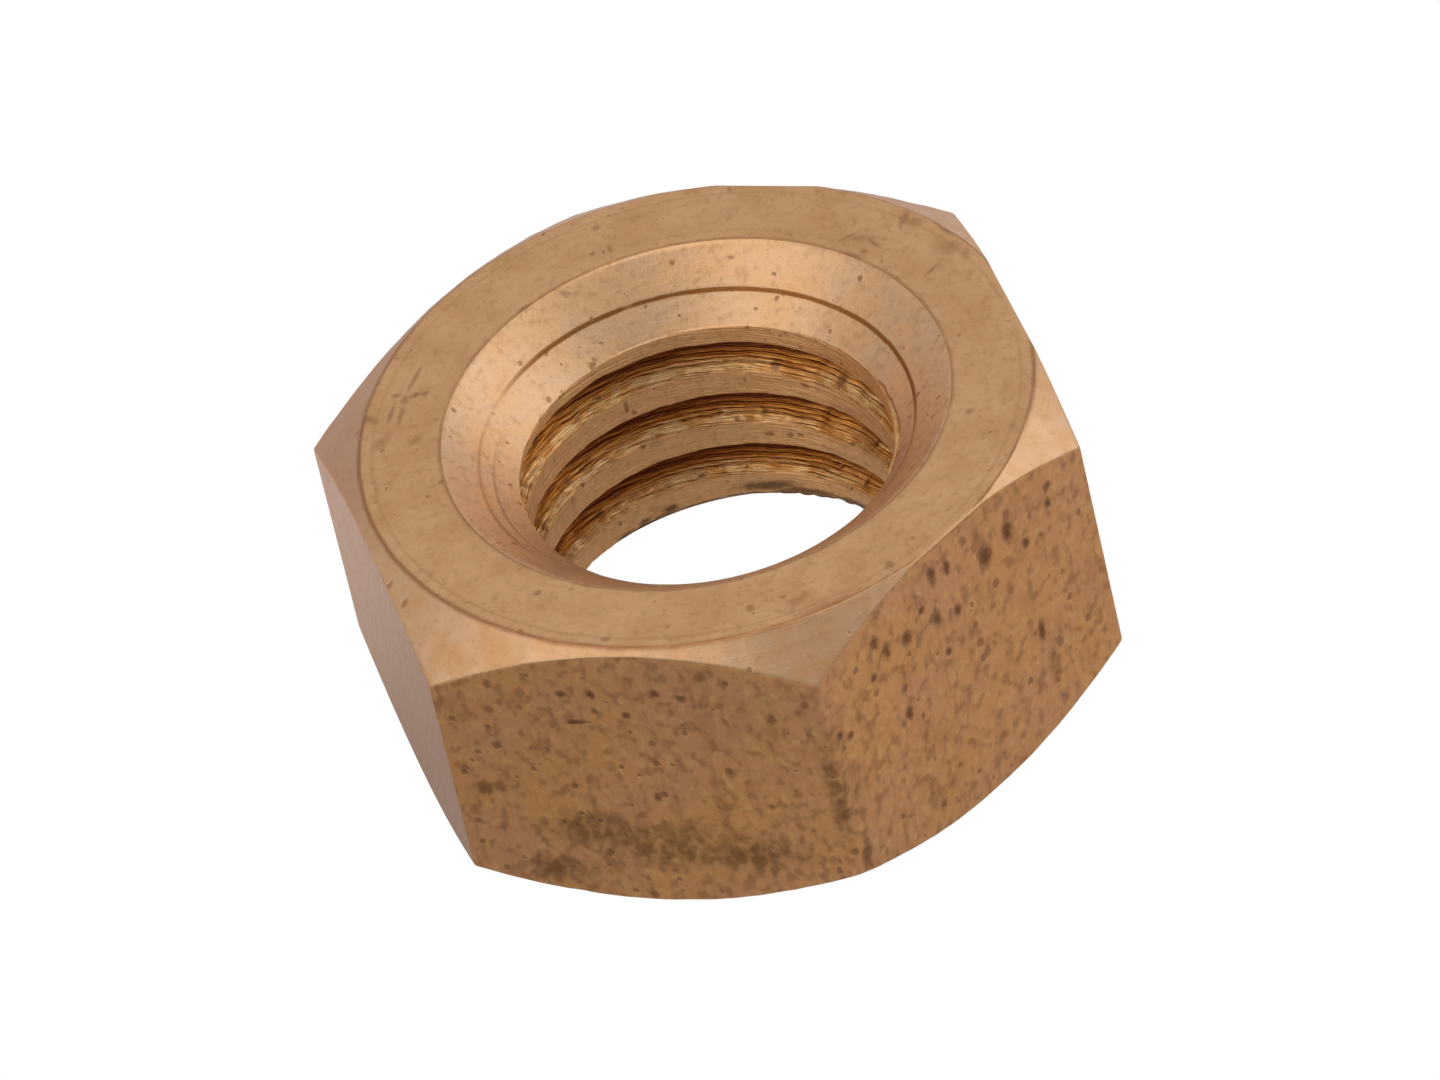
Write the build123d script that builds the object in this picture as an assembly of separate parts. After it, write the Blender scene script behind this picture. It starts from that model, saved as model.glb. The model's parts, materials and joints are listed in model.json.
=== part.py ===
from build123d import *
from build123d.topology import SkipClean
import os
from math import ceil, radians, tan

# A hexagon nut, M5 x 0.8, turned and tapped from drawn bronze bar.
# Millimetres and degrees. The origin is on the thread's axis, halfway between the two
# bearing faces, with +Z along the axis. One pair of flats faces +X and -X.

# Driving dimensions: the hexagon bar
across_flats = 8.0
thickness = 3.95
corner_radius = 0.05
# The bar sat slightly off the lathe's centre, so everything turned is off the hexagon's.
hexagon_centre_x = -0.11

# Driving dimensions: the corner chamfer turned on both ends
bearing_face_radius = 3.96
corner_chamfer_angle = 37.5
# The nut was turned round for the lower end's chamfer, and sat a little differently.
lower_chamfer_centre_x = -0.07

# Driving dimensions: the tapped bore
pitch = 0.8
major_radius = 2.56
minor_radius = 2.19
flank_angle = 30.0
root_width = pitch / 8
thread_start_angle = -90.0
countersink_radius = 2.99
countersink_half_angle = 51.0
# How far the cutting shape of the thread reaches inside the crests, so that it breaks through
groove_overlap = 0.13

# Worked out from the driving dimensions
half_thickness = thickness / 2
countersink_depth = (countersink_radius - minor_radius) / tan(radians(countersink_half_angle))
blank_radius = across_flats
chamfer_drop = (blank_radius - bearing_face_radius) * tan(radians(corner_chamfer_angle))


def hexagon_bar():
    """Piece of drawn hexagon bar, as long as the nut is thick, with softened corners."""
    outline = RegularPolygon(across_flats / 2, 6, major_radius=False, rotation=30)
    bar = extrude(Pos(hexagon_centre_x, 0, -half_thickness) * outline, thickness)
    return fillet(bar.edges().filter_by(Axis.Z), corner_radius)


def chamfer_envelope():
    """Round body, wider than the bar, that ends at the top in the bearing face and its chamfer."""
    half_outline = Polyline(
        (0, half_thickness),
        (bearing_face_radius, half_thickness),
        (blank_radius, half_thickness - chamfer_drop),
        (blank_radius, -half_thickness),
        (0, -half_thickness),
        close=True,
    )
    return revolve(Plane.XZ * make_face(half_outline), Axis.Z)


def quarter_of_the_bore():
    """Quarter of the plain hole at the thread's crests, with a countersink on each end."""
    overshoot = pitch
    mouth_radius = countersink_radius + overshoot * tan(radians(countersink_half_angle))
    half_outline = Polyline(
        (0, half_thickness + overshoot),
        (mouth_radius, half_thickness + overshoot),
        (minor_radius, half_thickness - countersink_depth),
        (minor_radius, countersink_depth - half_thickness),
        (mouth_radius, -half_thickness - overshoot),
        (0, -half_thickness - overshoot),
        close=True,
    )
    return revolve(Plane.XZ * make_face(half_outline), Axis.Z, revolution_arc=90)


def one_turn_of_thread_groove():
    """Right-hand 60 degree V groove of the tap, one turn long, starting level with the middle."""
    inner_radius = minor_radius - groove_overlap
    inner_width = root_width + 2 * (major_radius - inner_radius) * tan(radians(flank_angle))
    profile = Polyline(
        (inner_radius, -inner_width / 2),
        (major_radius, -root_width / 2),
        (major_radius, root_width / 2),
        (inner_radius, inner_width / 2),
        close=True,
    )
    path = Helix(pitch, pitch, minor_radius)
    groove = sweep(Plane.XZ * make_face(profile), path=path, is_frenet=True)
    return Rot(0, 0, thread_start_angle) * groove


def nut():
    """Hexagon blank, chamfered, drilled and countersunk, then tapped one turn at a time.

    The bore is cut a quarter at a time, and its faces are left unmerged, so that each stretch
    of the thread's crest is a short face that lies level enough to be measured.
    """
    upper_end = chamfer_envelope()
    lower_end = Pos(lower_chamfer_centre_x, 0, 0) * Rot(180, 0, 0) * chamfer_envelope()
    body = hexagon_bar() & upper_end & lower_end
    quarter = quarter_of_the_bore()
    turn = one_turn_of_thread_groove()
    turns = ceil(thickness / pitch) + 2
    with SkipClean():
        for angle in (0, 90, 180, 270):
            body -= Rot(0, 0, angle) * quarter
        for index in range(turns):
            body -= Pos(0, 0, -half_thickness + (index - 1) * pitch) * turn
    return body


os.makedirs("parts", exist_ok=True)
body = nut()
body.label = "nut"
export_step(body, "parts/nut.step")
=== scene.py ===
import json
import math
import bpy
import numpy as np
from mathutils import Matrix, Vector, noise


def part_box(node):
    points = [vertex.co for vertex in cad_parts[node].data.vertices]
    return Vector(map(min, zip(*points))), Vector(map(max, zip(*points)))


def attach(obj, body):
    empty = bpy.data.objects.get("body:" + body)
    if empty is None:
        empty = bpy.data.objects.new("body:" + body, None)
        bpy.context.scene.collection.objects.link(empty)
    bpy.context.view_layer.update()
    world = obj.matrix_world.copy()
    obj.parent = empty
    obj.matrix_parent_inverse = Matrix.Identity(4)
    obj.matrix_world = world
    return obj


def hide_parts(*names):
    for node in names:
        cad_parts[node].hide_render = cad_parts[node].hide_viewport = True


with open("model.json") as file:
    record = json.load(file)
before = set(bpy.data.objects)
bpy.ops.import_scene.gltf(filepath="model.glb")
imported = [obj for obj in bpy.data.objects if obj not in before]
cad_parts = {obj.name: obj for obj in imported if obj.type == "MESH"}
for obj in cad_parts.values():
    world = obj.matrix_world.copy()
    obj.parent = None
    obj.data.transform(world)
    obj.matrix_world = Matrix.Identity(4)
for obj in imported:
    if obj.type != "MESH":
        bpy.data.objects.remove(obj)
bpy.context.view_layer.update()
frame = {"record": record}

# ---------------------------------------------------------------------------------------
# Sizes, in millimetres and degrees, on the CAD part's own frame: the thread's axis is Z
# ---------------------------------------------------------------------------------------
MM = 0.001
node_low, node_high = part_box("nut")
thread_mount = next(m for m in frame["record"]["mounts"] if m["name"] == "thread")

HALF_THICKNESS = node_high.z / MM
APOTHEM = (node_high.x - node_low.x) / MM / 2
HEXAGON_CENTRE_X = (node_high.x + node_low.x) / MM / 2
CORNER_RADIUS = 0.05

CREST_RADIUS = thread_mount["dims"]["r_mm"]
ROOT_RADIUS = 2.52
PITCH = 0.8
ROOT_WIDTH = PITCH / 8
FLANK_SLOPE = math.tan(math.radians(30))
THREAD_START_ANGLE = -110.0
# The tap leaned to one side, which lifts the thread there. The groove fades out at the top.
TAP_LEAN = 0.045
THREAD_FADE_LOW = 1.26
THREAD_FADE_HIGH = 1.44

COUNTERSINK_RADIUS = 2.99
COUNTERSINK_SLOPE = math.tan(math.radians(51))
COUNTERSINK_FOOT = HALF_THICKNESS - (COUNTERSINK_RADIUS - CREST_RADIUS) / COUNTERSINK_SLOPE
# Just below the countersink's foot, where the mesh's helical rows give way to level ones
THREAD_TOP = COUNTERSINK_FOOT - 0.03
# The countersink was cut twice, and the deeper cut left a small step, a little off centre.
COUNTERSINK_STEP_RADIUS = 2.545
COUNTERSINK_STEP_CENTRE_X = -0.05
COUNTERSINK_STEP_WIDTH = 0.02
COUNTERSINK_STEP_HEIGHT = 0.010

BEARING_RADIUS = 3.96
CHAMFER_SLOPE = math.tan(math.radians(37.5))
LOWER_CHAMFER_CENTRE_X = -0.07
SMALLEST_CHAMFER = 0.030
EDGE_WEAR = 0.012

# Rounding of the thread's edges: at its root, at its crests, and at the countersinks' feet
ROOT_ROUNDING = 0.02
CREST_ROUNDING = 0.015
FOOT_ROUNDING = 0.016
# The tap tore the groove and, less, the crests. At the lower rim it left chips and a burr.
GROOVE_TEAR = 0.022
CREST_TEAR = 0.006
RIM_CHIP = 0.07
RIM_BURR = 0.04
RIM_REACH = 0.16
# The groove's shade starts at this depth, grows from 0 to 1 over the groove's depth less a
# margin, and is this many times stronger on the flank that faces down.
SHADE_START = 0.008
SHADE_MARGIN = 0.03
DOWN_FLANK_SHADE = 5

# ---------------------------------------------------------------------------------------
# Mesh grid: columns run round the nut, rows run along its cross-section
# ---------------------------------------------------------------------------------------
COLUMNS_PER_FLAT = 72
# Columns beside each corner, in degrees from it
CORNER_COLUMN_ANGLES = (0.0, 0.13, 0.27, 0.45, 0.75)
# Rows over one pitch of the thread
ROOT_ROWS = 3
FLANK_ROWS = 7
CREST_ROWS = 10
# How much closer together rows get near the ends of a stretch: 0 not at all, 1 all the way
ROW_CROWDING = 0.6
# Rows of the thread nearer than this to an end of the thread's mesh are merged into that end.
SMALLEST_ROW_GAP = 0.002
# How far inside the countersink's step there is a row, and least room between it and the foot
MOUTH_INSET = 0.03
FOOT_CLEARANCE = 0.02
# Samples along the cross-section that are averaged to round an edge
ROUNDING_SAMPLES = 9
REGIONS = ("bore", "face", "chamfer", "flat")


def column_azimuths():
    """Azimuths of the grid's columns, in radians, one column on each corner and more beside it."""
    corner = APOTHEM / math.cos(math.radians(30))
    corners = []
    for index in range(7):
        angle = math.radians(60 * index - 30)
        x = HEXAGON_CENTRE_X + corner * math.cos(angle)
        corners.append(math.atan2(corner * math.sin(angle), x))
    corners = np.unwrap(corners)
    beside = np.radians(CORNER_COLUMN_ANGLES)
    columns = []
    for start, end in zip(corners[:-1], corners[1:]):
        middle_count = COLUMNS_PER_FLAT - 2 * len(beside) + 3
        middle = np.linspace(start + beside[-1], end - beside[-1], middle_count)
        columns += [start + beside[:-1], middle, (end - beside[1:-1])[::-1]]
    return np.concatenate(columns)


def hexagon_radius(azimuths):
    """Distance from the thread's axis to the hexagon, whose corners are rounded."""
    directions = np.stack([np.cos(azimuths), np.sin(azimuths)], 1)
    centre = np.array([HEXAGON_CENTRE_X, 0.0])
    normals_at = np.radians(60.0 * np.arange(6))
    normals = np.stack([np.cos(normals_at), np.sin(normals_at)], 1)
    facing = directions @ normals.T
    least_facing = 0.1
    reach = (APOTHEM + normals @ centre) / np.maximum(facing, least_facing)
    radius = np.where(facing > least_facing, reach, np.inf).min(1)
    arc_distance = (APOTHEM - CORNER_RADIUS) / math.cos(math.radians(30))
    corners_at = normals_at + math.radians(30)
    arc_centres = centre + arc_distance * np.stack([np.cos(corners_at), np.sin(corners_at)], 1)
    for arc_centre in arc_centres:
        along = directions @ arc_centre
        inside = CORNER_RADIUS**2 - arc_centre @ arc_centre + along**2
        on_arc = along + np.sqrt(np.maximum(inside, 0))
        outward = on_arc[:, None] * directions - arc_centre
        corner_direction = (arc_centre - centre) / arc_distance
        within = outward @ corner_direction >= CORNER_RADIUS * math.cos(math.radians(30))
        radius = np.where((inside > 0) & within, np.minimum(on_arc, radius), radius)
    return radius


def circle_radius(azimuth, radius, centre_x):
    """Distance from the thread's axis to a circle whose centre lies at centre_x."""
    across = centre_x * math.sin(azimuth)
    return centre_x * math.cos(azimuth) + math.sqrt(radius**2 - across**2)


def roughness_at(xyz, scale, seed, octaves=3):
    """Smooth random values around zero, one for each point, the same on every run."""
    offset = Vector((seed, 2 * seed, -seed))
    values = [noise.fractal(Vector(p) * scale + offset, 0.8, 2.0, octaves) for p in xyz]
    return np.array(values)


def smooth_max(a, b, width):
    """The larger of a and b, with the edge between them rounded over about width."""
    return (a + b + np.sqrt((a - b) ** 2 + width**2)) / 2


def groove_height(azimuths):
    """Height of the thread groove's centre at each azimuth, to within a whole number of pitches."""
    climb = PITCH * (azimuths - math.radians(THREAD_START_ANGLE)) / math.tau
    return -HALF_THICKNESS + climb + TAP_LEAN * np.cos(azimuths)


def bore_radius(heights, azimuths):
    """Radius of the bore's wall, and how shaded it is by the thread's groove, from 0 to 1."""
    crest_x = CREST_RADIUS * np.cos(azimuths)
    crest_y = CREST_RADIUS * np.sin(azimuths)
    on_crest = np.stack([crest_x, crest_y, heights], 1)
    torn = roughness_at(on_crest, scale=3.5, seed=5)
    chipped = roughness_at(on_crest, scale=6.0, seed=17)
    side = (heights - groove_height(azimuths) + PITCH / 2) % PITCH - PITCH / 2
    along = np.abs(side)
    groove = ROOT_RADIUS - smooth_max(along - ROOT_WIDTH / 2, 0 * along, ROOT_ROUNDING) / FLANK_SLOPE
    fade = np.clip((THREAD_FADE_HIGH - heights) / (THREAD_FADE_HIGH - THREAD_FADE_LOW), 0, 1)
    groove = CREST_RADIUS + (groove - CREST_RADIUS) * fade + GROOVE_TEAR * torn * fade
    near_lower_rim = np.clip(1 - np.abs(heights + COUNTERSINK_FOOT) / RIM_REACH, 0, 1)
    countersink = COUNTERSINK_RADIUS - (HALF_THICKNESS - np.abs(heights)) * COUNTERSINK_SLOPE
    countersink = countersink + RIM_CHIP * near_lower_rim * chipped
    crest = CREST_RADIUS + CREST_TEAR * torn - RIM_BURR * near_lower_rim * np.clip(chipped, 0, 1)
    plain = smooth_max(crest, countersink, FOOT_ROUNDING)
    radius = smooth_max(groove, plain, CREST_ROUNDING)
    shade = (radius - plain - SHADE_START) / (ROOT_RADIUS - CREST_RADIUS - SHADE_MARGIN)
    shade = np.where(side > 0, DOWN_FLANK_SHADE * shade, shade)
    return radius, np.clip(shade, 0, 1)


def eased(count):
    """Fractions from 0 up to 1, without the 1, closer together near both ends."""
    even = np.arange(count) / count
    return even - ROW_CROWDING * np.sin(math.tau * even) / math.tau


def thread_rows():
    """Heights of the rows within one pitch, from the groove's centre, closer at its edges."""
    root_edge = ROOT_WIDTH / 2
    crest_edge = root_edge + (ROOT_RADIUS - CREST_RADIUS) * FLANK_SLOPE
    stretches = (
        (-root_edge, root_edge, ROOT_ROWS),
        (root_edge, crest_edge, FLANK_ROWS),
        (crest_edge, PITCH - crest_edge, CREST_ROWS),
        (PITCH - crest_edge, PITCH - root_edge, FLANK_ROWS),
    )
    return np.concatenate([low + (high - low) * eased(count) for low, high, count in stretches])


def mouth_point(azimuth):
    """(Radius, height) in the upper countersink just inside its step, at the given azimuth."""
    step = circle_radius(azimuth, COUNTERSINK_STEP_RADIUS, COUNTERSINK_STEP_CENTRE_X)
    radius = step - MOUTH_INSET
    return radius, HALF_THICKNESS - (COUNTERSINK_RADIUS - radius) / COUNTERSINK_SLOPE


def bore_grid(azimuths):
    """Vertices (radius, height), groove shade, columns and faces of the thread's stretch of bore.

    The rows climb with the thread and are cut off below the upper countersink and inside the
    lower one, where two rings close them. Returns the vertex numbers of those rings as well.
    """
    count = len(azimuths)
    low_end = -np.array([mouth_point(azimuth)[1] for azimuth in azimuths])
    high_end = np.full(count, THREAD_TOP)
    pattern = thread_rows()
    per_pitch = len(pattern)
    lowest = math.floor((low_end.min() - PITCH * 1.5) / PITCH)
    highest = math.ceil((THREAD_TOP + PITCH * 1.5) / PITCH)
    levels = np.concatenate([pattern + PITCH * turn for turn in range(lowest, highest)])
    base = groove_height(azimuths) + PITCH * round(HALF_THICKNESS / PITCH)
    heights = base[:, None] + levels[None, :]
    below = heights <= low_end[:, None] + SMALLEST_ROW_GAP
    above = heights >= high_end[:, None] - SMALLEST_ROW_GAP
    inside = ~below & ~above
    low_ring = np.arange(count)
    high_ring = count + np.arange(count)
    ids = np.where(below, low_ring[:, None], high_ring[:, None])
    ids[inside] = 2 * count + np.arange(inside.sum())
    z = np.concatenate([low_end, high_end, heights[inside]])
    column = np.concatenate([low_ring, low_ring, np.nonzero(inside)[0]])
    faces = []
    rows = heights.shape[1]
    for i in range(count):
        following = (i + 1) % count
        shift = per_pitch if following == 0 else 0
        for j in range(rows - 1 - shift):
            k = j + shift
            corners = (ids[i, j], ids[i, j + 1], ids[following, k + 1], ids[following, k])
            face = list(dict.fromkeys(int(c) for c in corners))
            if len(face) > 2:
                faces.append(face)
    radius, shade = bore_radius(z, azimuths[column])
    return np.stack([radius, z], 1), shade, column, faces, low_ring, high_ring


def end_profile(azimuth, radius, chamfer_centre_x, wear):
    """Corner points (radius, height) from inside the countersink out to the flat, down one column."""
    edge = circle_radius(azimuth, BEARING_RADIUS, chamfer_centre_x) + wear
    bearing = min(edge, radius - SMALLEST_CHAMFER)
    chamfer_end = HALF_THICKNESS - (radius - bearing) * CHAMFER_SLOPE
    mouth, mouth_height = mouth_point(azimuth)
    step = mouth + MOUTH_INSET
    step_height = mouth_height + MOUTH_INSET / COUNTERSINK_SLOPE
    cone_rise = COUNTERSINK_STEP_WIDTH / COUNTERSINK_SLOPE
    return [
        (mouth, mouth_height),
        (step, step_height),
        (step + COUNTERSINK_STEP_WIDTH, step_height + cone_rise + COUNTERSINK_STEP_HEIGHT),
        (COUNTERSINK_RADIUS, HALF_THICKNESS),
        (bearing, HALF_THICKNESS),
        (radius, chamfer_end),
    ]


def outer_profile(azimuth, radius, thread_radius, wear):
    """Corner points (radius, height) of the cross-section outside the thread, down one column."""
    upper = end_profile(azimuth, radius, 0.0, wear)
    lower = end_profile(azimuth, radius, LOWER_CHAMFER_CENTRE_X, -wear)
    mouth_radius = upper[0][0]
    foot = min(thread_radius, mouth_radius - FOOT_CLEARANCE)
    foot_height = HALF_THICKNESS - (COUNTERSINK_RADIUS - foot) / COUNTERSINK_SLOPE
    start = [(thread_radius, THREAD_TOP), (foot, foot_height)]
    return np.array(start + upper + [(r, -z) for r, z in reversed(lower)])


# Rows between the end of the thread's mesh and the upper countersink's foot
THREAD_END_ROWS = 4
# From each corner point above to the next: rows, how widely they round edges off, and region
UPPER_STEPS = (
    (THREAD_END_ROWS, 0.01, "bore"),
    (9, 0.01, "bore"),
    (2, 0.015, "bore"),
    (3, 0.015, "bore"),
    (5, 0.015, "bore"),
    (20, 0.02, "face"),
    (10, 0.022, "chamfer"),
)
FLAT_STEPS = ((43, 0.035, "flat"),)
LOWER_STEPS = (
    (8, 0.035, "chamfer"),
    (14, 0.03, "face"),
    (4, 0.02, "bore"),
    (2, 0.015, "bore"),
    (2, 0.015, "bore"),
)
OUTER_STEPS = UPPER_STEPS + FLAT_STEPS + LOWER_STEPS


def outer_grid(azimuths, thread_radii):
    """Points (radius, height) of the outside by column and row, with the region of each row."""
    stations = []
    rounding = []
    regions = []
    for step, (count, width, region) in enumerate(OUTER_STEPS):
        stations.append(step + eased(count))
        rounding.append(np.full(count, width))
        regions += [region] * count
    stations = np.append(np.concatenate(stations), len(OUTER_STEPS))
    rounding = np.append(np.concatenate(rounding), 0)
    rounding[0] = 0
    offsets = np.linspace(-1, 1, ROUNDING_SAMPLES)
    on_circle = np.stack([np.cos(azimuths), np.sin(azimuths), 0 * azimuths], 1)
    wear = EDGE_WEAR * roughness_at(BEARING_RADIUS * on_circle, scale=3.0, seed=31)
    grid = []
    for column in zip(azimuths, hexagon_radius(azimuths), thread_radii, wear):
        points = outer_profile(*column)
        lengths = np.append(0, np.cumsum(np.hypot(*np.diff(points, axis=0).T)))
        distance = np.interp(stations, np.arange(len(points)), lengths)
        room = np.minimum(distance, lengths[-1] - distance)
        reach = np.minimum(rounding, room)
        samples = distance[:, None] + reach[:, None] * offsets
        r = np.interp(samples, lengths, points[:, 0]).mean(1)
        z = np.interp(samples, lengths, points[:, 1]).mean(1)
        grid.append(np.stack([r, z], 1))
    return np.array(grid), regions


# ---------------------------------------------------------------------------------------
# Pits and marks on the surfaces
# ---------------------------------------------------------------------------------------
# The two flats that the photo shows, by the azimuth that each faces
FRONT_FLAT = -120.0
RIGHT_FLAT = -60.0
# Half sizes of the marks across the surface: large, so that only the sizes along it count
MARK_REACH_ON_FLAT = APOTHEM
MARK_REACH_ON_FACE = PITCH
MARK_REACH_IN_BORE = CREST_RADIUS / 2
# A pit's depth over its half width, its area over that of its half sizes, and its reach in depth
PIT_DEPTH = 0.25
PIT_AREA = 1.2
PIT_REACH = 0.2

# Deepest pits: flat, distance along it, height, half width, half height
PITS = (
    (RIGHT_FLAT, 0.55, 1.22, 0.11, 0.19),
    (RIGHT_FLAT, 0.95, 1.30, 0.08, 0.17),
    (RIGHT_FLAT, -0.05, 1.53, 0.05, 0.13),
    (RIGHT_FLAT, -0.30, 1.62, 0.06, 0.14),
    (RIGHT_FLAT, 1.68, 1.42, 0.06, 0.07),
    (RIGHT_FLAT, 1.65, 1.20, 0.05, 0.07),
    (RIGHT_FLAT, 1.20, 0.92, 0.05, 0.07),
    (RIGHT_FLAT, -0.34, 0.97, 0.06, 0.13),
    (RIGHT_FLAT, -0.02, 0.85, 0.06, 0.08),
    (RIGHT_FLAT, -0.56, 1.27, 0.05, 0.06),
    (RIGHT_FLAT, -0.86, 1.08, 0.08, 0.11),
    (RIGHT_FLAT, -1.19, 1.14, 0.06, 0.13),
    (RIGHT_FLAT, -1.34, 1.40, 0.06, 0.10),
    (RIGHT_FLAT, -0.29, 0.42, 0.05, 0.06),
    (RIGHT_FLAT, -1.47, 0.94, 0.05, 0.06),
    (RIGHT_FLAT, -1.07, 0.06, 0.07, 0.09),
    (RIGHT_FLAT, 1.14, -0.42, 0.05, 0.16),
    (RIGHT_FLAT, -2.00, 0.46, 0.05, 0.06),
    (RIGHT_FLAT, -2.15, 0.58, 0.05, 0.06),
    (FRONT_FLAT, -0.77, 1.31, 0.06, 0.06),
    (FRONT_FLAT, -0.41, 1.30, 0.05, 0.07),
    (FRONT_FLAT, 0.36, 1.33, 0.06, 0.06),
    (FRONT_FLAT, 0.65, 1.26, 0.06, 0.06),
    (FRONT_FLAT, -0.65, 0.87, 0.15, 0.04),
    (FRONT_FLAT, -0.05, 0.98, 0.05, 0.05),
    (FRONT_FLAT, 0.10, -0.30, 0.05, 0.07),
)

# Dark smudges, in the same order. The large ones low on the front flat are partly painted shade,
# darkening it towards its bottom.
SMUDGES_AND_SHADE = (
    (FRONT_FLAT, -1.85, -0.20, 0.30, 0.14),
    (FRONT_FLAT, -0.75, -0.80, 0.70, 0.30),
    (FRONT_FLAT, 0.10, -1.10, 0.85, 0.38),
    (FRONT_FLAT, 1.10, -1.20, 0.60, 0.35),
    (FRONT_FLAT, -1.30, -1.45, 0.60, 0.25),
    (FRONT_FLAT, 2.25, -0.20, 0.14, 0.90),
    (RIGHT_FLAT, 1.22, -1.00, 0.10, 0.30),
    (RIGHT_FLAT, -2.15, -1.30, 0.12, 0.35),
)

# Marks on the upper face: radius, azimuth, direction they run in, half length, half width
SCRATCHES = (
    (3.54, 147.5, 73.0, 0.08, 0.050),
    (3.54, 141.3, 51.0, 0.25, 0.028),
    (3.42, 145.9, 0.0, 0.14, 0.030),
    (3.33, 145.2, 24.0, 0.05, 0.040),
    (3.53, 151.5, 61.0, 0.16, 0.030),
    (3.65, 151.1, 58.0, 0.16, 0.024),
    (3.67, 146.4, 154.0, 0.05, 0.040),
    (3.90, 152.6, 116.0, 0.09, 0.060),
    (3.68, 90.8, 80.0, 0.05, 0.045),
    (3.25, 90.3, 90.0, 0.07, 0.030),
    (3.02, 114.2, 20.0, 0.10, 0.030),
    (3.28, 38.5, 10.0, 0.12, 0.020),
    (3.02, 34.6, 127.0, 0.12, 0.040),
    (3.14, 32.8, 150.0, 0.04, 0.040),
    (3.31, 32.6, 111.0, 0.10, 0.030),
    (3.82, 31.9, 55.0, 0.14, 0.050),
    (3.96, 24.1, 109.0, 0.16, 0.045),
    (3.39, 17.0, 31.0, 0.14, 0.022),
    (2.95, 16.0, 40.0, 0.05, 0.050),
)

# Brown stains on the upper face, in the same order
STAINS = (
    (3.82, 29.8, 150.0, 0.12, 0.09),
    (3.30, 36.0, 150.0, 0.22, 0.08),
    (3.76, 19.7, 151.0, 0.18, 0.14),
    (3.85, 16.1, 71.0, 0.15, 0.07),
    (3.69, 158.6, 38.0, 0.20, 0.10),
    (3.30, 159.0, 31.0, 0.12, 0.08),
    (3.66, -89.1, 22.0, 0.21, 0.09),
    (3.92, -84.0, 0.0, 0.60, 0.07),
)

# Spots on the upper chamfers, in the same order
CHAMFER_SPOTS = (
    (4.175, -167.8, 0.0, 0.050, 0.040),
    (4.200, -162.7, 0.0, 0.060, 0.045),
)

# Dark specks in the bore: azimuth, height, half length, half height
BORE_SPECKS = (
    (53.7, 0.64, 0.055, 0.050),
    (43.9, 0.48, 0.070, 0.040),
    (32.5, 0.61, 0.070, 0.055),
    (59.9, -0.37, 0.060, 0.045),
    (53.3, -0.38, 0.050, 0.040),
    (49.8, -0.36, 0.045, 0.035),
    (101.6, 0.53, 0.030, 0.080),
)

# Rusty stains in the bore, in the same order
RUST_STAINS = (
    (37.0, -0.23, 0.30, 0.10),
    (46.0, 0.60, 0.24, 0.06),
)

# Crusts of dirt on the thread's lower rim, in the same order
CRUSTS = (
    (64.0, -1.19, 0.34, 0.07),
    (52.0, -1.26, 0.42, 0.05),
    (36.0, -1.28, 0.30, 0.05),
    (80.0, -1.31, 0.40, 0.03),
    (95.5, -1.21, 0.10, 0.05),
    (98.0, -1.28, 0.20, 0.04),
    (104.5, -1.22, 0.08, 0.04),
    (112.0, -1.25, 0.14, 0.04),
)


def on_flat(mark):
    """Centre, direction and half sizes of a mark that lies on one of the flats."""
    flat, along, height, half_width, half_height = mark
    turn = math.radians(flat)
    x = HEXAGON_CENTRE_X + APOTHEM * math.cos(turn) - along * math.sin(turn)
    y = APOTHEM * math.sin(turn) + along * math.cos(turn)
    return (x, y, height), turn + math.pi / 2, (half_width, MARK_REACH_ON_FLAT, half_height)


def on_upper_face(mark):
    """Centre, direction and half sizes of a mark that lies on the upper bearing face."""
    radius, azimuth, direction, half_length, half_width = mark
    turn = math.radians(azimuth)
    centre = (radius * math.cos(turn), radius * math.sin(turn), HALF_THICKNESS)
    return centre, math.radians(direction), (half_length, half_width, MARK_REACH_ON_FACE)


def in_bore(mark):
    """Centre, direction and half sizes of a mark that lies on the wall of the bore."""
    azimuth, height, half_length, half_height = mark
    turn = math.radians(azimuth)
    centre = (CREST_RADIUS * math.cos(turn), CREST_RADIUS * math.sin(turn), height)
    return centre, turn + math.pi / 2, (half_length, MARK_REACH_IN_BORE, half_height)


def dent(xyz):
    """Depth of the pits at each point, in millimetres, for the mesh itself."""
    depth = np.zeros(len(xyz))
    for centre, turn, half_sizes in map(on_flat, PITS):
        offset = xyz - centre
        along = offset @ (math.cos(turn), math.sin(turn), 0)
        off_flat = offset @ (math.sin(turn), -math.cos(turn), 0)
        reach = (along / half_sizes[0]) ** 2 + (offset[:, 2] / half_sizes[2]) ** 2
        pit = PIT_DEPTH * half_sizes[0] * np.clip(PIT_AREA - reach, 0, 1)
        depth = np.maximum(depth, np.where(np.abs(off_flat) < PIT_REACH, pit, 0))
    return depth


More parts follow.
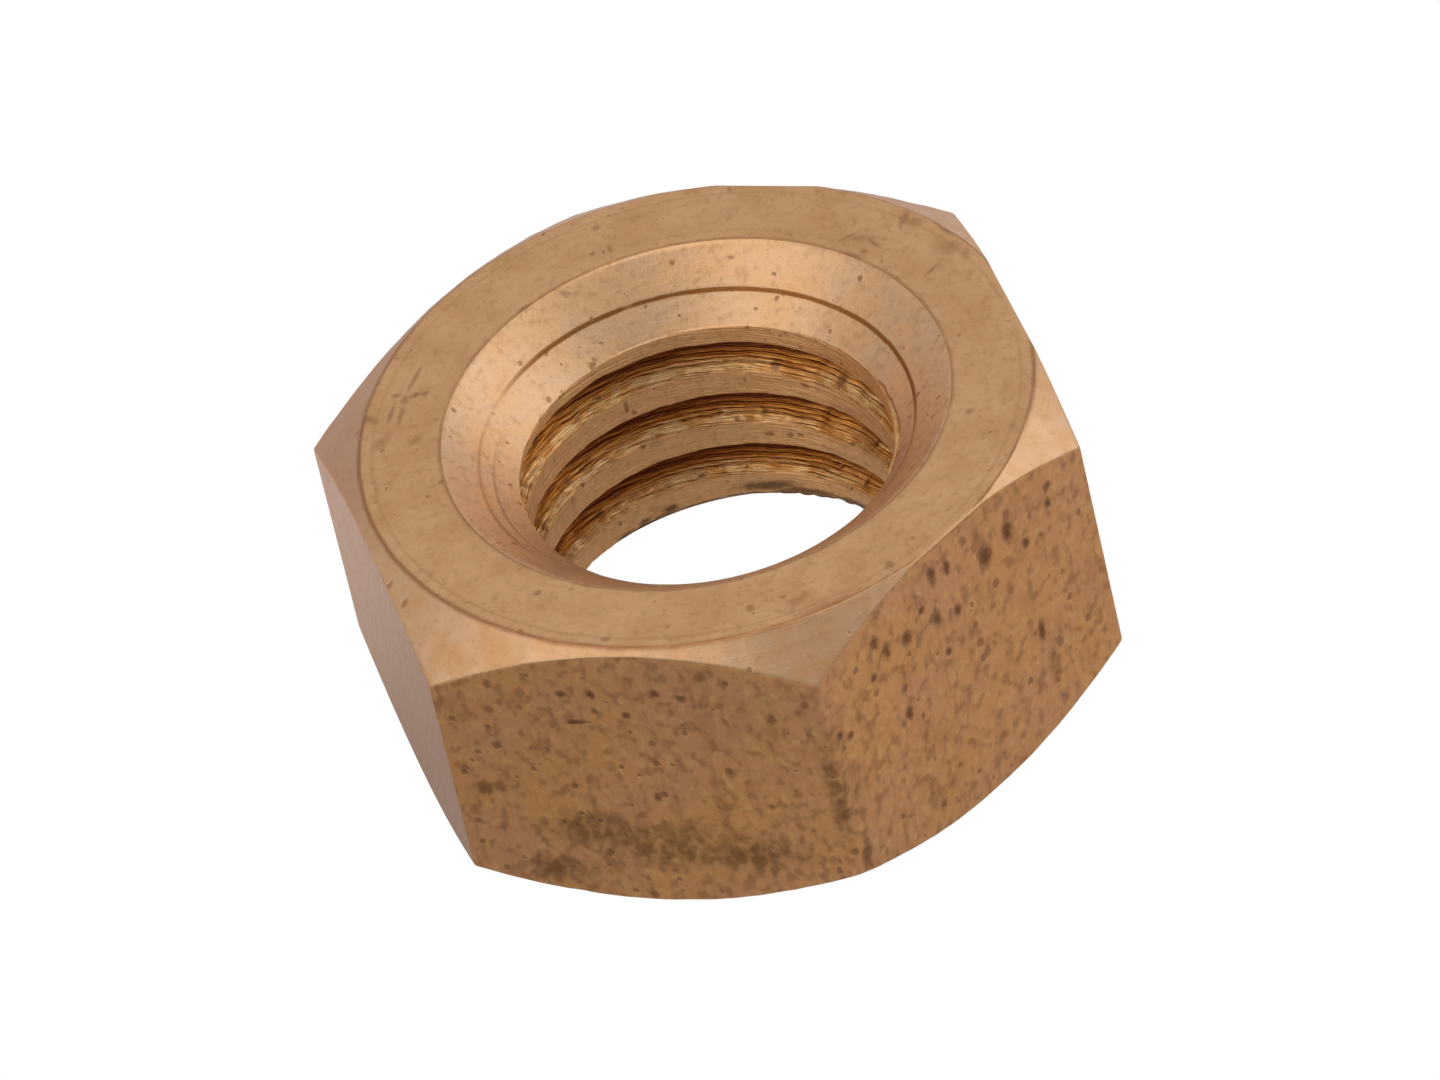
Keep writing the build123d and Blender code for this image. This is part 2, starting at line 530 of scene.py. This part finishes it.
def build_nut():
    """The whole nut as one closed mesh, with a material slot for each region."""
    azimuths = column_azimuths()
    count = len(azimuths)
    bore_points, groove_shade, bore_column, faces, low_ring, high_ring = bore_grid(azimuths)
    face_regions = ["bore"] * len(faces)
    outer, row_regions = outer_grid(azimuths, bore_points[high_ring, 0])
    rows = outer.shape[1]
    first = len(bore_points)
    inner_rows = rows - 2
    ids = np.empty((count, rows), int)
    ids[:, 0] = high_ring
    ids[:, -1] = low_ring
    ids[:, 1:-1] = first + np.arange(count * inner_rows).reshape(count, inner_rows)
    for i in range(count):
        following = (i + 1) % count
        for j in range(rows - 1):
            corners = (ids[i, j], ids[i, j + 1], ids[following, j + 1], ids[following, j])
            faces.append([int(corner) for corner in corners])
            face_regions.append(row_regions[j])
    points = np.concatenate([bore_points, outer[:, 1:-1].reshape(-1, 2)])
    column = np.concatenate([bore_column, np.repeat(np.arange(count), inner_rows)])
    angle = azimuths[column]
    outward = np.stack([np.cos(angle), np.sin(angle), 0 * angle], 1)
    xyz = points[:, :1] * outward + points[:, 1:] * np.array([0, 0, 1])
    xyz[first:] -= dent(xyz[first:])[:, None] * outward[first:]
    mesh = bpy.data.meshes.new("hex_nut")
    mesh.from_pydata((xyz * MM).tolist(), [], faces)
    mesh.polygons.foreach_set("material_index", [REGIONS.index(r) for r in face_regions])
    mesh.polygons.foreach_set("use_smooth", [True] * len(faces))
    outer_shade = np.zeros((count, inner_rows))
    outer_shade[:, :THREAD_END_ROWS - 1] = groove_shade[high_ring, None]
    shade = mesh.attributes.new("groove_shade", "FLOAT", "POINT")
    shade.data.foreach_set("value", np.append(groove_shade, outer_shade))
    mesh.validate()
    nut = bpy.data.objects.new("hex_nut", mesh)
    bpy.context.scene.collection.objects.link(nut)
    return nut


# ---------------------------------------------------------------------------------------
# Materials
# ---------------------------------------------------------------------------------------
BRONZE = (0.71, 0.40, 0.195, 1)
PALE_BRONZE = (0.78, 0.46, 0.24, 1)
CUT_BRONZE = (0.74, 0.460, 0.270, 1)
DRAWN_BRONZE = (0.80, 0.415, 0.180, 1)
GOLDEN_BRONZE = (0.84, 0.44, 0.165, 1)
LILAC_TARNISH = (0.74, 0.385, 0.230, 1)
PALE_SPECKLE_AND_FLANK_HIGHLIGHT = (1.00, 0.64, 0.27, 1)
CREST_BRONZE = (0.88, 0.49, 0.20, 1)
BROWN_STAIN_AND_SHADE = (0.345, 0.15, 0.064, 1)
PIT_BROWN = (0.20, 0.085, 0.038, 1)
SMUDGE_AND_SHADE_BROWN = (0.26, 0.118, 0.042, 1)
STEP_BROWN = (0.32, 0.128, 0.036, 1)
SOOT = (0.085, 0.034, 0.014, 1)
GROOVE_CRUST_AND_SHADE = (0.66, 0.27, 0.055, 1)
ROOT_SHADE_BROWN = (0.30, 0.10, 0.035, 1)
ORANGE_STAIN = (0.72, 0.30, 0.06, 1)
GRAZING_SHEEN_MAUVE = (0.68, 0.44, 0.33, 1)
FAR_SIDE_MAUVE_SHADE = (0.58, 0.335, 0.215, 1)


class Graph:
    """Short ways of adding nodes to a material. Places are in millimetres on the nut."""

    def __init__(self, name):
        self.material = bpy.data.materials.new(name)
        self.material.use_nodes = True
        self.tree = self.material.node_tree
        self.shader = self.tree.nodes["Principled BSDF"]
        in_metres = self.tree.nodes.new("ShaderNodeTexCoord").outputs["Object"]
        self.place = self.stretched(in_metres, (1 / MM, 1 / MM, 1 / MM))
        self.level = self.stretched(self.place, (1, 1, 0))
        self.radius = self.add("ShaderNodeVectorMath", {0: self.level}, 1, operation="LENGTH")
        self.direction = self.add("ShaderNodeVectorMath", {0: self.level}, operation="NORMALIZE")

    def add(self, kind, inputs, output=0, **settings):
        node = self.tree.nodes.new(kind)
        for name, value in settings.items():
            setattr(node, name, value)
        for key, value in inputs.items():
            if isinstance(value, bpy.types.NodeSocket):
                self.tree.links.new(value, node.inputs[key])
            else:
                node.inputs[key].default_value = value
        return node.outputs[output]

    def stretched(self, vector, factors):
        return self.add("ShaderNodeVectorMath", {0: vector, 1: factors}, operation="MULTIPLY")

    def math(self, operation, a, b=0.0):
        return self.add("ShaderNodeMath", {0: a, 1: b}, operation=operation)

    def both(self, a, b):
        """Product of two values: where both are 1."""
        return self.math("MULTIPLY", a, b)

    def either(self, a, b):
        """Larger of two values: where either is 1."""
        return self.math("MAXIMUM", a, b)

    def total(self, *terms, plus=0.0):
        """Sum of (value, weight) pairs and of one plain number."""
        result = plus
        for value, weight in terms:
            result = self.math("ADD", result, self.math("MULTIPLY", value, weight))
        return result

    def noise(self, vector, scale, detail=3.0, roughness=0.55):
        inputs = {"Vector": vector, "Scale": scale, "Detail": detail, "Roughness": roughness}
        return self.add("ShaderNodeTexNoise", inputs)

    def rise(self, value, low, high):
        """0 below low and 1 above high, with a smooth step between; falls if high is below low."""
        inputs = {"Value": value, "From Min": low, "From Max": high}
        return self.add("ShaderNodeMapRange", inputs, interpolation_type="SMOOTHSTEP")

    def mix(self, amount, a, b):
        """Colour a where the amount is 0, and b where it is 1."""
        return self.add("ShaderNodeMix", {0: amount, 6: a, 7: b}, 2, data_type="RGBA")

    def tint(self, colour, tone, where, strength):
        """The colour, with a tone laid over it at the given strength where the value is 1."""
        return self.mix(self.math("MULTIPLY", where, strength), colour, tone)

    def around(self, rate, radial_rate=0.0):
        """Place that changes slowly round the nut and quickly with radius, for turned surfaces."""
        along = self.stretched(self.direction, (rate, rate, 0))
        lift = self.add("ShaderNodeCombineXYZ", {2: self.math("MULTIPLY", self.radius, radial_rate)})
        return self.add("ShaderNodeVectorMath", {0: along, 1: lift}, operation="ADD")

    def towards(self, x, y):
        """How far each place lies towards the given side of the nut, from -1 to 1."""
        inputs = {0: self.direction, 1: (x, y, 0)}
        return self.add("ShaderNodeVectorMath", inputs, 1, operation="DOT_PRODUCT")

    def ring(self, radius, half_width, waviness=0.03, centre_x=0.0):
        """1 on a wavy line round the nut, fading in and out along its length."""
        wave = self.math("SUBTRACT", self.noise(self.around(9.0), 1.0), 0.5)
        wave = self.math("MULTIPLY", wave, waviness)
        inputs = {0: self.level, 1: (centre_x, 0, 0)}
        distance = self.add("ShaderNodeVectorMath", inputs, 1, operation="DISTANCE")
        off = self.math("SUBTRACT", self.math("SUBTRACT", distance, radius), wave)
        line = self.rise(self.math("ABSOLUTE", off), half_width, 0.0)
        strength = self.rise(self.noise(self.around(2.5, 0.3), 1.0), 0.22, 0.52)
        return self.both(line, strength)

    def marks(self, ellipsoids, start, end):
        """0 at start and 1 at end, in sizes of the nearest given ellipsoid, with ragged edges."""
        nearest = None
        for centre, turn, half_sizes in ellipsoids:
            inputs = {
                "Vector": self.place,
                "Location": centre,
                "Rotation": (0, 0, turn),
                "Scale": half_sizes,
            }
            inside = self.add("ShaderNodeMapping", inputs, vector_type="TEXTURE")
            reach = self.add("ShaderNodeVectorMath", {0: inside}, 1, operation="LENGTH")
            nearest = reach if nearest is None else self.math("MINIMUM", nearest, reach)
        ragged = self.math("SUBTRACT", self.noise(self.place, 14.0), 0.5)
        return self.rise(self.total((nearest, 1.0), (ragged, 1.1)), start, end)

    def spots(self, scale, density, squash=1.0, seed=0.0):
        """Small round spots of many sizes, most of them tiny, scattered over the surface."""
        vector = self.stretched(self.place, (1, 1, squash))
        vector = self.add("ShaderNodeVectorMath", {0: vector, 1: (seed, seed, seed)}, operation="ADD")
        warp = self.add("ShaderNodeTexNoise", {"Vector": vector, "Scale": 3 * scale}, 1)
        warp = self.stretched(warp, (0.25 / scale, 0.25 / scale, 0.25 / scale))
        vector = self.add("ShaderNodeVectorMath", {0: vector, 1: warp}, operation="ADD")
        cells = self.tree.nodes.new("ShaderNodeTexVoronoi")
        self.tree.links.new(vector, cells.inputs["Vector"])
        cells.inputs["Scale"].default_value = scale
        colour = self.add("ShaderNodeSeparateColor", {0: cells.outputs["Color"]})
        size = self.math("MULTIPLY", self.math("POWER", colour, 3.0), density)
        return self.rise(self.math("DIVIDE", cells.outputs["Distance"], size), 1.0, 0.4)

    def finish(self, colour, roughness, height):
        """Connects the shader. The height is in millimetres."""
        bump = self.add("ShaderNodeBump", {"Height": height, "Distance": MM, "Strength": 1.0})
        self.tree.links.new(colour, self.shader.inputs["Base Color"])
        self.tree.links.new(roughness, self.shader.inputs["Roughness"])
        self.tree.links.new(bump, self.shader.inputs["Normal"])
        self.shader.inputs["Metallic"].default_value = 1
        return self.material


def turned_face():
    """Bearing faces: faint facing marks, stains, scratches and a dark line near the edge."""
    g = Graph("bronze_turned_face")
    facing = g.noise(g.around(0.7, 16.0), 1.0, 4.0, 0.7)
    blotches = g.noise(g.place, 2.2, 4.0)
    grain = g.noise(g.place, 9.0, 4.0, 0.7)
    edge = g.both(g.ring(BEARING_RADIUS, 0.05), g.rise(g.towards(0.5, 0.87), 0.8, 0.0))
    inner_edge = g.ring(BEARING_RADIUS - 0.15, 0.04, 0.06)
    mouth = g.ring(COUNTERSINK_RADIUS + 0.01, 0.055, 0.06)
    scratches = g.marks(map(on_upper_face, SCRATCHES), 1.6, 0.3)
    stains = g.marks(map(on_upper_face, STAINS), 1.3, 0.1)
    spots = g.either(g.spots(2.4, 0.20), g.spots(5.0, 0.26, seed=2.0))
    colour = g.mix(g.rise(blotches, 0.35, 0.65), BRONZE, PALE_BRONZE)
    colour = g.tint(colour, BROWN_STAIN_AND_SHADE, g.rise(grain, 0.48, 0.75), 0.35)
    colour = g.tint(colour, BROWN_STAIN_AND_SHADE, g.rise(facing, 0.52, 0.8), 0.15)
    colour = g.tint(colour, BROWN_STAIN_AND_SHADE, stains, 0.45)
    colour = g.tint(colour, BROWN_STAIN_AND_SHADE, inner_edge, 0.2)
    colour = g.tint(colour, BROWN_STAIN_AND_SHADE, edge, 0.85)
    colour = g.tint(colour, BROWN_STAIN_AND_SHADE, mouth, 0.6)
    colour = g.tint(colour, BROWN_STAIN_AND_SHADE, spots, 0.55)
    colour = g.tint(colour, BROWN_STAIN_AND_SHADE, scratches, 0.55)
    roughness = g.total((blotches, 0.15), (stains, 0.1), plus=0.33)
    height = g.total(
        (facing, 0.005),
        (grain, 0.005),
        (inner_edge, -0.002),
        (spots, -0.004),
        (scratches, -0.002),
    )
    return g.finish(colour, roughness, height)


def turned_chamfer():
    """Corner chamfers: bright, with painted mauve shade on the far side, fine turning lines and
    spots.
    """
    g = Graph("bronze_chamfer")
    turning = g.noise(g.around(0.8, 14.0), 1.0, 4.0, 0.7)
    blotches = g.noise(g.place, 2.6, 3.0)
    grain = g.noise(g.place, 9.0, 4.0, 0.7)
    placed_spots = g.marks(map(on_upper_face, CHAMFER_SPOTS), 1.3, 0.4)
    spots = g.either(g.spots(2.4, 0.18, seed=4.0), placed_spots)
    edge = g.both(g.ring(BEARING_RADIUS, 0.05), g.rise(g.towards(0.5, -0.87), 0.95, 0.8))
    far_side_shade = g.rise(g.towards(-0.2, 0.98), 0.0, 0.45)
    front_corner_shade = g.rise(g.towards(0.2, -0.98), 0.88, 0.98)
    colour = g.mix(g.rise(blotches, 0.35, 0.75), CUT_BRONZE, BRONZE)
    # Painted shade: the far side of the chamfer is darkened and tinted mauve.
    colour = g.tint(colour, FAR_SIDE_MAUVE_SHADE, far_side_shade, 0.85)
    # Painted shade: the chamfer darkens beside the front corner.
    colour = g.tint(colour, BROWN_STAIN_AND_SHADE, front_corner_shade, 0.25)
    colour = g.tint(colour, BROWN_STAIN_AND_SHADE, g.rise(turning, 0.5, 0.8), 0.15)
    colour = g.tint(colour, BROWN_STAIN_AND_SHADE, g.rise(grain, 0.5, 0.75), 0.25)
    colour = g.tint(colour, BROWN_STAIN_AND_SHADE, spots, 0.6)
    colour = g.tint(colour, BROWN_STAIN_AND_SHADE, edge, 0.8)
    roughness = g.total((blotches, 0.15), plus=0.37)
    height = g.total((turning, 0.004), (grain, 0.004), (spots, -0.006))
    return g.finish(colour, roughness, height)


def tapped_bore():
    """Countersinks and thread: clean crests, torn grooves in painted shade, and soot at the lower
    rim.
    """
    g = Graph("bronze_bore")
    shade = g.add("ShaderNodeAttribute", {}, 2, attribute_name="groove_shade")
    x, y, z = (g.add("ShaderNodeSeparateXYZ", {0: g.place}, axis) for axis in range(3))
    turn = g.math("ARCTAN2", y, x)
    phase = g.math("SUBTRACT", g.math("MULTIPLY", z, math.tau / PITCH), turn)
    inputs = {0: g.math("COSINE", phase), 1: g.math("SINE", phase), 2: g.math("MULTIPLY", x, 0.15)}
    helix = g.add("ShaderNodeCombineXYZ", inputs)
    torn = g.noise(helix, 5.5, 3.0, 0.6)
    turning = g.noise(g.around(0.6, 11.0), 1.0, 4.0, 0.7)
    blotches = g.noise(g.place, 2.4, 4.0)
    grain = g.noise(g.place, 9.0, 4.0, 0.7)

    # The countersink, above the thread
    right_side = g.towards(0.57, 0.82)
    step = g.ring(COUNTERSINK_STEP_RADIUS + 0.01, 0.032, 0.015, COUNTERSINK_STEP_CENTRE_X)
    scar = g.both(g.rise(step, 0.0, 0.6), g.rise(right_side, 0.1, 0.45))
    second_step = g.ring(COUNTERSINK_STEP_RADIUS - 0.15, 0.03, 0.02, COUNTERSINK_STEP_CENTRE_X)
    second_step = g.both(second_step, g.rise(right_side, 0.2, -0.4))
    colour = g.mix(g.rise(blotches, 0.35, 0.7), CUT_BRONZE, PALE_BRONZE)
    colour = g.tint(colour, BROWN_STAIN_AND_SHADE, g.rise(turning, 0.5, 0.8), 0.15)
    colour = g.tint(colour, BROWN_STAIN_AND_SHADE, g.either(step, second_step), 0.35)
    colour = g.mix(scar, colour, STEP_BROWN)

    # The thread, with stains on its flanks and torn grooves: a painted highlight near the crests,
    # painted shade deeper in
    deep = g.rise(z, THREAD_TOP + 0.05, THREAD_TOP)
    on_flank = g.rise(shade, 0.0, 0.12)
    deep_flank = g.both(on_flank, deep)
    # Painted highlight: the groove's flanks are coloured paler than the crests.
    colour = g.tint(colour, g.mix(on_flank, CREST_BRONZE, PALE_SPECKLE_AND_FLANK_HIGHLIGHT), deep, 0.7)
    colour = g.tint(colour, BROWN_STAIN_AND_SHADE, g.rise(grain, 0.46, 0.72), 0.35)
    crusted = g.both(g.rise(g.noise(g.place, 5.0, 2.0), 0.5, 0.6), deep_flank)
    colour = g.tint(colour, GROOVE_CRUST_AND_SHADE, crusted, 0.55)
    orange = g.both(g.rise(g.noise(g.place, 2.2, 4.0, 0.6), 0.48, 0.62), deep_flank)
    orange = g.either(orange, g.marks(map(in_bore, RUST_STAINS), 1.3, 0.3))
    colour = g.tint(colour, ORANGE_STAIN, orange, 0.7)
    # Painted shade: the groove darkens with its depth, and sooner on the flank that faces down.
    ragged = g.both(g.math("SUBTRACT", torn, 0.5), g.both(g.rise(shade, 0.05, 0.4), deep))
    in_groove = g.total((shade, 1.0), (ragged, 1.5))
    colour = g.mix(g.rise(in_groove, 0.28, 0.68), colour, GROOVE_CRUST_AND_SHADE)
    colour = g.mix(g.rise(in_groove, 0.72, 1.0), colour, ROOT_SHADE_BROWN)

    # Dirt: spots and specks all over, and soot at the lower rim
    spots = g.either(g.spots(3.0, 0.26, seed=9.0), g.spots(6.0, 0.32, seed=7.0))
    spots = g.either(spots, g.marks(map(in_bore, BORE_SPECKS), 1.3, 0.5))
    colour = g.tint(colour, BROWN_STAIN_AND_SHADE, spots, 0.75)
    lowest = g.rise(z, -1.15, -1.38)
    soot = g.rise(g.math("ADD", lowest, g.noise(g.place, 3.5, 4.0, 0.8)), 1.0, 1.2)
    soot = g.either(soot, g.marks(map(in_bore, CRUSTS), 1.6, 0.3))
    colour = g.tint(colour, SOOT, soot, 0.75)

    roughness = g.total((blotches, 0.15), (deep_flank, -0.08), plus=0.34)
    height = g.total(
        (turning, 0.004),
        (grain, 0.006),
        (second_step, -0.004),
        (g.both(torn, deep), 0.045),
        (spots, -0.004),
    )
    return g.finish(colour, roughness, height)


def drawn_flat():
    """Flats as drawn through the die: speckled, pitted, with tarnish and streaks along the bar."""
    g = Graph("bronze_drawn_flat")
    speckle = g.noise(g.stretched(g.place, (1, 1, 0.75)), 7.5, 1.5, 0.5)
    light_speckle = g.noise(g.stretched(g.place, (1, 1, 0.75)), 10.0, 1.0, 0.5)
    mottle = g.noise(g.stretched(g.place, (1, 1, 0.7)), 3.0, 4.0, 0.6)
    patches = g.noise(g.place, 0.9, 2.0)
    streaks = g.noise(g.stretched(g.place, (1, 1, 0.12)), 6.0, 3.0, 0.6)
    pits = g.marks(map(on_flat, PITS), 1.5, 0.25)
    glancing_sheen = g.rise(g.add("ShaderNodeLayerWeight", {"Blend": 0.5}, "Facing"), 0.70, 0.92)
    # Smudges, partly real and partly painted shade on the front flat's lower part.
    smudges_and_shade = g.marks(map(on_flat, SMUDGES_AND_SHADE), 1.4, 0.0)
    dirt_and_shade = g.both(smudges_and_shade, g.rise(speckle, 0.22, 0.58))
    spots = g.either(g.spots(3.2, 0.28, 0.7), g.spots(5.5, 0.42, 0.8, 3.0))
    colour = g.mix(g.rise(patches, 0.36, 0.66), LILAC_TARNISH, GOLDEN_BRONZE)
    colour = g.mix(0.68, colour, DRAWN_BRONZE)
    colour = g.tint(colour, PALE_SPECKLE_AND_FLANK_HIGHLIGHT, g.rise(light_speckle, 0.5, 0.72), 0.30)
    colour = g.tint(colour, BROWN_STAIN_AND_SHADE, g.rise(mottle, 0.5, 0.72), 0.25)
    colour = g.tint(colour, BROWN_STAIN_AND_SHADE, g.rise(speckle, 0.47, 0.72), 0.5)
    colour = g.tint(colour, BROWN_STAIN_AND_SHADE, g.rise(streaks, 0.54, 0.75), 0.25)
    colour = g.tint(colour, BROWN_STAIN_AND_SHADE, spots, 0.65)
    colour = g.tint(colour, SMUDGE_AND_SHADE_BROWN, dirt_and_shade, 0.75)
    colour = g.tint(colour, PIT_BROWN, pits, 0.75)
    # Painted sheen: the flats turn mauve where they are seen at glancing angles.
    colour = g.mix(glancing_sheen, colour, GRAZING_SHEEN_MAUVE)
    roughness = g.total((mottle, 0.2), (pits, 0.2), plus=0.38)
    height = g.total(
        (speckle, 0.016),
        (mottle, 0.012),
        (streaks, 0.005),
        (spots, -0.018),
        (pits, -0.02),
    )
    return g.finish(colour, roughness, height)


# ---------------------------------------------------------------------------------------
# Floor, light and camera
# ---------------------------------------------------------------------------------------
WHITE = (1, 1, 1, 1)
FLOOR_GLOW = (1.0, 0.95, 0.9, 1)
ROOM_GLOW = (1, 0.98, 0.95, 1)
FLOOR_HALF_SIZE = 600
COOL_LIGHT = (0.93, 1.0, 1.07)
WARM_LIGHT = (1.0, 0.98, 0.92)
SOFTBOX_DISTANCE = 90
# Azimuth and elevation that each softbox shines from, its size, its power in watts, and its colour
SOFTBOXES = {
    "right_softbox": (-2, 35, 85, 0.017, COOL_LIGHT),
    "left_softbox": (-159, 53, 68, 0.0115, WARM_LIGHT),
    "top_softbox": (120, 86, 36, 0.006, WARM_LIGHT),
}


def camera_only(tree, seen, lit):
    """Mixes two shaders: seen is what the camera sees, lit is what the metal reflects."""
    mix = tree.nodes.new("ShaderNodeMixShader")
    path = tree.nodes.new("ShaderNodeLightPath")
    tree.links.new(path.outputs["Is Camera Ray"], mix.inputs[0])
    tree.links.new(lit, mix.inputs[1])
    tree.links.new(seen, mix.inputs[2])
    return mix.outputs[0]


def make_floor():
    """White floor. What the metal sees of it is dimmer, most of all at the front and left, as a
    painted shadow.
    """
    signs = [(-1, -1), (1, -1), (1, 1), (-1, 1)]
    half = FLOOR_HALF_SIZE * MM
    level = -HALF_THICKNESS * MM
    mesh = bpy.data.meshes.new("floor")
    mesh.from_pydata([(x * half, y * half, level) for x, y in signs], [], [(0, 1, 2, 3)])
    floor = bpy.data.objects.new("floor", mesh)
    bpy.context.scene.collection.objects.link(floor)
    g = Graph("pale_floor")
    white = g.add("ShaderNodeEmission", {"Strength": 1.0})
    x, y = (g.add("ShaderNodeSeparateXYZ", {0: g.place}, axis) for axis in range(2))
    # Painted shadow: the glow that the metal sees is weaker at the front and left.
    strength = g.total((g.rise(x, -7.0, 7.0), 0.16), (g.rise(y, 0.0, 5.0), 0.34), plus=0.36)
    dim = g.add("ShaderNodeEmission", {"Color": FLOOR_GLOW, "Strength": strength})
    g.tree.nodes.remove(g.shader)
    g.tree.links.new(camera_only(g.tree, white, dim), g.tree.nodes["Material Output"].inputs[0])
    mesh.materials.append(g.material)


def make_world():
    """White room. What the metal sees of it is dimmer, most of all in front of the nut."""
    world = bpy.data.worlds.new("studio")
    bpy.context.scene.world = world
    world.use_nodes = True
    tree = world.node_tree
    tree.nodes.clear()
    white = tree.nodes.new("ShaderNodeBackground")
    white.inputs["Color"].default_value = WHITE
    white.inputs["Strength"].default_value = 1.0
    room = tree.nodes.new("ShaderNodeBackground")
    room.inputs["Color"].default_value = ROOM_GLOW
    towards = tree.nodes.new("ShaderNodeTexCoord").outputs["Generated"]
    split = tree.nodes.new("ShaderNodeSeparateXYZ")
    tree.links.new(towards, split.inputs[0])
    behind = tree.nodes.new("ShaderNodeMapRange")
    tree.links.new(split.outputs[1], behind.inputs["Value"])
    for key, value in (("From Min", -0.45), ("From Max", 0.1), ("To Min", 0.46), ("To Max", 0.61)):
        behind.inputs[key].default_value = value
    tree.links.new(behind.outputs[0], room.inputs["Strength"])
    out = tree.nodes.new("ShaderNodeOutputWorld")
    tree.links.new(camera_only(tree, white.outputs[0], room.outputs[0]), out.inputs[0])


def make_softbox(name, azimuth, elevation, size, power, colour):
    """A square area light that faces the nut from the given direction."""
    a = math.radians(azimuth)
    e = math.radians(elevation)
    back = Vector((math.cos(a) * math.cos(e), math.sin(a) * math.cos(e), math.sin(e)))
    light = bpy.data.lights.new(name, "AREA")
    light.shape = "SQUARE"
    light.size = size * MM
    light.energy = power
    light.color = colour
    lamp = bpy.data.objects.new(name, light)
    bpy.context.scene.collection.objects.link(lamp)
    lamp.location = back * SOFTBOX_DISTANCE * MM
    lamp.rotation_mode = "QUATERNION"
    lamp.rotation_quaternion = back.to_track_quat("Z", "Y")
    lamp.visible_camera = False


def make_camera():
    """Long lens from the left of the front corner, well above, with the nut leaning to the right."""
    azimuth = math.radians(-9.1)
    elevation = math.radians(41.18)
    lean = math.radians(13.42)
    distance = 214.8
    aim = Vector((-0.07, -0.005, 0.0)) * MM
    back = Vector((
        math.sin(azimuth) * math.cos(elevation),
        -math.cos(azimuth) * math.cos(elevation),
        math.sin(elevation),
    ))
    data = bpy.data.cameras.new("camera")
    data.sensor_width = 36
    data.lens = 462.6
    data.clip_start = 0.01
    data.clip_end = 10
    camera = bpy.data.objects.new("camera", data)
    bpy.context.scene.collection.objects.link(camera)
    level = back.to_track_quat("Z", "Y").to_matrix()
    turned = level @ Matrix.Rotation(-lean, 3, "Z")
    camera.rotation_mode = "QUATERNION"
    camera.rotation_quaternion = turned.to_quaternion()
    camera.location = aim + back * distance * MM
    bpy.context.scene.camera = camera


nut = build_nut()
for make_material in (tapped_bore, turned_face, turned_chamfer, drawn_flat):
    nut.data.materials.append(make_material())
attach(nut, "root")
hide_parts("nut")

make_floor()
make_world()
for softbox, settings in SOFTBOXES.items():
    make_softbox(softbox, *settings)
make_camera()
bpy.context.scene.view_settings.view_transform = "Standard"
